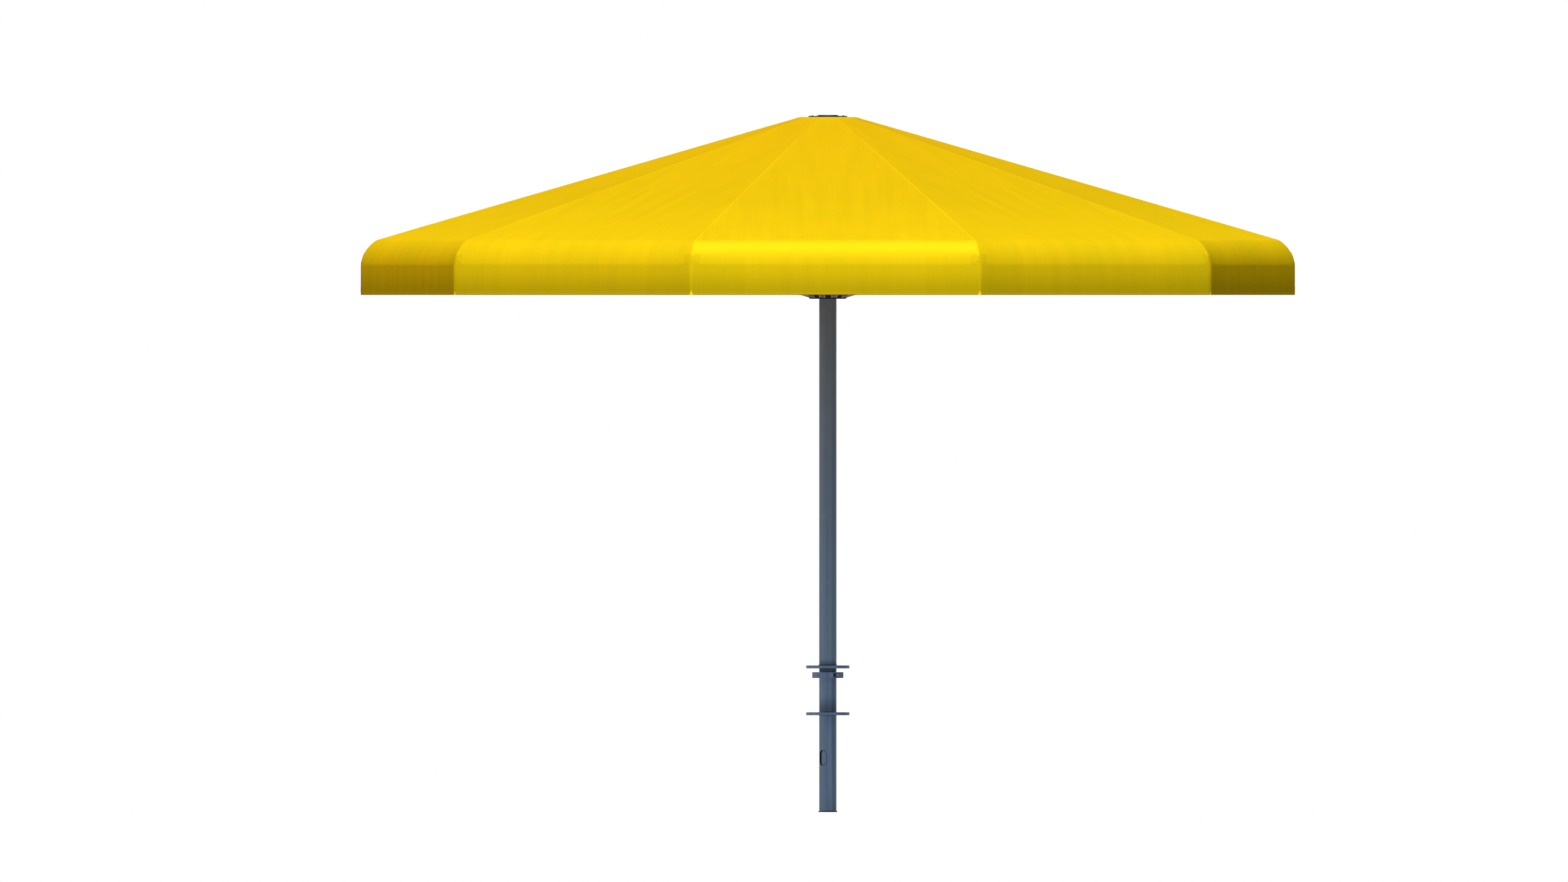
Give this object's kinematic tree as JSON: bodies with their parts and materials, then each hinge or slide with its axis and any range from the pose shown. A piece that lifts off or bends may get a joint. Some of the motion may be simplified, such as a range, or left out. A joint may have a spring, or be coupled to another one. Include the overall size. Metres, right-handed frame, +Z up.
{
  "type": "parasol",
  "caption": "Large ten-sided yellow centre-mast parasol, open, with folding ribs and struts on a slider, and an in-ground sleeve with cover and anchor plates.",
  "frame": {"origin": "middle of the underside of the sleeve's base plate", "axes": "+Z up along the mast, +X to the right and -Y to the front, a panel of the canopy facing -Y"},
  "size_m": [5.505, 5.2356, 4.105],
  "materials": {
    "canopy_fabric": "matte woven acrylic, strong yellow, sewn seams along the ribs",
    "rib_aluminium": "satin anodised, light blue-grey",
    "strut_aluminium": "satin anodised, light blue-grey",
    "mast_coated": "fine textured powder coat, dark grey",
    "sleeve_steel": "coated steel, dull blue-grey",
    "hub_cast": "cast and coated, near black",
    "motor_housing": "black painted tube",
    "drive_steel": "zinc plated",
    "nut_bronze": "machined bronze",
    "bush_polymer": "black bearing polymer"
  },
  "bodies": {
    "mast": {"ground_sleeve": "sleeve_steel", "sleeve_base_plate": "sleeve_steel", "anchor_plate": "sleeve_steel", "clamp_ring": "sleeve_steel", "clamp_bolt": "drive_steel", "cover_plate": "sleeve_steel", "mast_spigot": "sleeve_steel", "mast_tube": "mast_coated", "mast_cap": "mast_coated", "crown_hub": "hub_cast", "motor_mount": "drive_steel", "drive_motor": "motor_housing", "lower_bearing": "drive_steel", "upper_bearing": "drive_steel"},
    "slider": {"slider_hub": "hub_cast", "slider_bush": "bush_polymer", "drive_nut": "nut_bronze"},
    "spindle": {"drive_spindle": "drive_steel", "motor_coupling": "drive_steel"},
    "rib_arm_01": {"rib_01": "rib_aluminium", "strut_bracket_01": "rib_aluminium", "canopy_gore_01": "canopy_fabric"},
    "strut_arm_01": {"strut_01": "strut_aluminium"},
    "rib_arm_02": {"rib_02": "rib_aluminium", "strut_bracket_02": "rib_aluminium", "canopy_gore_02": "canopy_fabric"},
    "strut_arm_02": {"strut_02": "strut_aluminium"},
    "rib_arm_03": {"rib_03": "rib_aluminium", "strut_bracket_03": "rib_aluminium", "canopy_gore_03": "canopy_fabric"},
    "strut_arm_03": {"strut_03": "strut_aluminium"},
    "rib_arm_04": {"rib_04": "rib_aluminium", "strut_bracket_04": "rib_aluminium", "canopy_gore_04": "canopy_fabric"},
    "strut_arm_04": {"strut_04": "strut_aluminium"},
    "rib_arm_05": {"rib_05": "rib_aluminium", "strut_bracket_05": "rib_aluminium", "canopy_gore_05": "canopy_fabric"},
    "strut_arm_05": {"strut_05": "strut_aluminium"},
    "rib_arm_06": {"rib_06": "rib_aluminium", "strut_bracket_06": "rib_aluminium", "canopy_gore_06": "canopy_fabric"},
    "strut_arm_06": {"strut_06": "strut_aluminium"},
    "rib_arm_07": {"rib_07": "rib_aluminium", "strut_bracket_07": "rib_aluminium", "canopy_gore_07": "canopy_fabric"},
    "strut_arm_07": {"strut_07": "strut_aluminium"},
    "rib_arm_08": {"rib_08": "rib_aluminium", "strut_bracket_08": "rib_aluminium", "canopy_gore_08": "canopy_fabric"},
    "strut_arm_08": {"strut_08": "strut_aluminium"},
    "rib_arm_09": {"rib_09": "rib_aluminium", "strut_bracket_09": "rib_aluminium", "canopy_gore_09": "canopy_fabric"},
    "strut_arm_09": {"strut_09": "strut_aluminium"},
    "rib_arm_10": {"rib_10": "rib_aluminium", "strut_bracket_10": "rib_aluminium", "canopy_gore_10": "canopy_fabric"},
    "strut_arm_10": {"strut_10": "strut_aluminium"}
  },
  "joints": [
    {"name": "slider_slide", "type": "slide", "parent": "mast", "child": "slider", "axis": [0, 0, -1], "range_m": [0, 1.80628]},
    {"name": "spindle_spin", "type": "hinge", "parent": "mast", "child": "spindle", "pos_m": [0, 0, 1.2], "axis": [0, 0, 1], "continuous": true},
    {"name": "rib_hinge_01", "type": "hinge", "parent": "mast", "child": "rib_arm_01", "pos_m": [0.03214, -0.09891, 4.065], "axis": [0.9511, 0.309, 0], "range_deg": [0, 67.05], "deforming": ["canopy_gore_01"]},
    {"name": "strut_hinge_01", "type": "hinge", "parent": "rib_arm_01", "child": "strut_arm_01", "pos_m": [0.44066, -1.35621, 3.616], "axis": [-0.9511, -0.309, 0], "range_deg": [0, 129.44]},
    {"name": "rib_hinge_02", "type": "hinge", "parent": "mast", "child": "rib_arm_02", "pos_m": [0.08414, -0.06113, 4.065], "axis": [0.5878, 0.809, 0], "range_deg": [0, 67.05], "deforming": ["canopy_gore_02"]},
    {"name": "strut_hinge_02", "type": "hinge", "parent": "rib_arm_02", "child": "strut_arm_02", "pos_m": [1.15366, -0.83818, 3.616], "axis": [-0.5878, -0.809, 0], "range_deg": [0, 129.44]},
    {"name": "rib_hinge_03", "type": "hinge", "parent": "mast", "child": "rib_arm_03", "pos_m": [0.104, 0, 4.065], "axis": [0, 1, 0], "range_deg": [0, 67.05], "deforming": ["canopy_gore_03"]},
    {"name": "strut_hinge_03", "type": "hinge", "parent": "rib_arm_03", "child": "strut_arm_03", "pos_m": [1.426, 0, 3.616], "axis": [0, -1, 0], "range_deg": [0, 129.44]},
    {"name": "rib_hinge_04", "type": "hinge", "parent": "mast", "child": "rib_arm_04", "pos_m": [0.08414, 0.06113, 4.065], "axis": [-0.5878, 0.809, 0], "range_deg": [0, 67.05], "deforming": ["canopy_gore_04"]},
    {"name": "strut_hinge_04", "type": "hinge", "parent": "rib_arm_04", "child": "strut_arm_04", "pos_m": [1.15366, 0.83818, 3.616], "axis": [0.5878, -0.809, 0], "range_deg": [0, 129.44]},
    {"name": "rib_hinge_05", "type": "hinge", "parent": "mast", "child": "rib_arm_05", "pos_m": [0.03214, 0.09891, 4.065], "axis": [-0.9511, 0.309, 0], "range_deg": [0, 67.05], "deforming": ["canopy_gore_05"]},
    {"name": "strut_hinge_05", "type": "hinge", "parent": "rib_arm_05", "child": "strut_arm_05", "pos_m": [0.44066, 1.35621, 3.616], "axis": [0.9511, -0.309, 0], "range_deg": [0, 129.44]},
    {"name": "rib_hinge_06", "type": "hinge", "parent": "mast", "child": "rib_arm_06", "pos_m": [-0.03214, 0.09891, 4.065], "axis": [-0.9511, -0.309, 0], "range_deg": [0, 67.05], "deforming": ["canopy_gore_06"]},
    {"name": "strut_hinge_06", "type": "hinge", "parent": "rib_arm_06", "child": "strut_arm_06", "pos_m": [-0.44066, 1.35621, 3.616], "axis": [0.9511, 0.309, 0], "range_deg": [0, 129.44]},
    {"name": "rib_hinge_07", "type": "hinge", "parent": "mast", "child": "rib_arm_07", "pos_m": [-0.08414, 0.06113, 4.065], "axis": [-0.5878, -0.809, 0], "range_deg": [0, 67.05], "deforming": ["canopy_gore_07"]},
    {"name": "strut_hinge_07", "type": "hinge", "parent": "rib_arm_07", "child": "strut_arm_07", "pos_m": [-1.15366, 0.83818, 3.616], "axis": [0.5878, 0.809, 0], "range_deg": [0, 129.44]},
    {"name": "rib_hinge_08", "type": "hinge", "parent": "mast", "child": "rib_arm_08", "pos_m": [-0.104, 0, 4.065], "axis": [0, -1, 0], "range_deg": [0, 67.05], "deforming": ["canopy_gore_08"]},
    {"name": "strut_hinge_08", "type": "hinge", "parent": "rib_arm_08", "child": "strut_arm_08", "pos_m": [-1.426, 0, 3.616], "axis": [0, 1, 0], "range_deg": [0, 129.44]},
    {"name": "rib_hinge_09", "type": "hinge", "parent": "mast", "child": "rib_arm_09", "pos_m": [-0.08414, -0.06113, 4.065], "axis": [0.5878, -0.809, 0], "range_deg": [0, 67.05], "deforming": ["canopy_gore_09"]},
    {"name": "strut_hinge_09", "type": "hinge", "parent": "rib_arm_09", "child": "strut_arm_09", "pos_m": [-1.15366, -0.83818, 3.616], "axis": [-0.5878, 0.809, 0], "range_deg": [0, 129.44]},
    {"name": "rib_hinge_10", "type": "hinge", "parent": "mast", "child": "rib_arm_10", "pos_m": [-0.03214, -0.09891, 4.065], "axis": [0.9511, -0.309, 0], "range_deg": [0, 67.05], "deforming": ["canopy_gore_10"]},
    {"name": "strut_hinge_10", "type": "hinge", "parent": "rib_arm_10", "child": "strut_arm_10", "pos_m": [-0.44066, -1.35621, 3.616], "axis": [-0.9511, 0.309, 0], "range_deg": [0, 129.44]}
  ],
  "couplings": [
    {"joint": "spindle_spin", "follows": "slider_slide", "rad_per_m": 523.6},
    {"joint": "rib_hinge_01", "follows": "slider_slide", "rad_per_m": 0.64739},
    {"joint": "strut_hinge_01", "follows": "slider_slide", "rad_per_m": 1.2502},
    {"joint": "rib_hinge_02", "follows": "slider_slide", "rad_per_m": 0.64739},
    {"joint": "strut_hinge_02", "follows": "slider_slide", "rad_per_m": 1.2502},
    {"joint": "rib_hinge_03", "follows": "slider_slide", "rad_per_m": 0.64739},
    {"joint": "strut_hinge_03", "follows": "slider_slide", "rad_per_m": 1.2502},
    {"joint": "rib_hinge_04", "follows": "slider_slide", "rad_per_m": 0.64739},
    {"joint": "strut_hinge_04", "follows": "slider_slide", "rad_per_m": 1.2502},
    {"joint": "rib_hinge_05", "follows": "slider_slide", "rad_per_m": 0.64739},
    {"joint": "strut_hinge_05", "follows": "slider_slide", "rad_per_m": 1.2502},
    {"joint": "rib_hinge_06", "follows": "slider_slide", "rad_per_m": 0.64739},
    {"joint": "strut_hinge_06", "follows": "slider_slide", "rad_per_m": 1.2502},
    {"joint": "rib_hinge_07", "follows": "slider_slide", "rad_per_m": 0.64739},
    {"joint": "strut_hinge_07", "follows": "slider_slide", "rad_per_m": 1.2502},
    {"joint": "rib_hinge_08", "follows": "slider_slide", "rad_per_m": 0.64739},
    {"joint": "strut_hinge_08", "follows": "slider_slide", "rad_per_m": 1.2502},
    {"joint": "rib_hinge_09", "follows": "slider_slide", "rad_per_m": 0.64739},
    {"joint": "strut_hinge_09", "follows": "slider_slide", "rad_per_m": 1.2502},
    {"joint": "rib_hinge_10", "follows": "slider_slide", "rad_per_m": 0.64739},
    {"joint": "strut_hinge_10", "follows": "slider_slide", "rad_per_m": 1.2502}
  ]
}
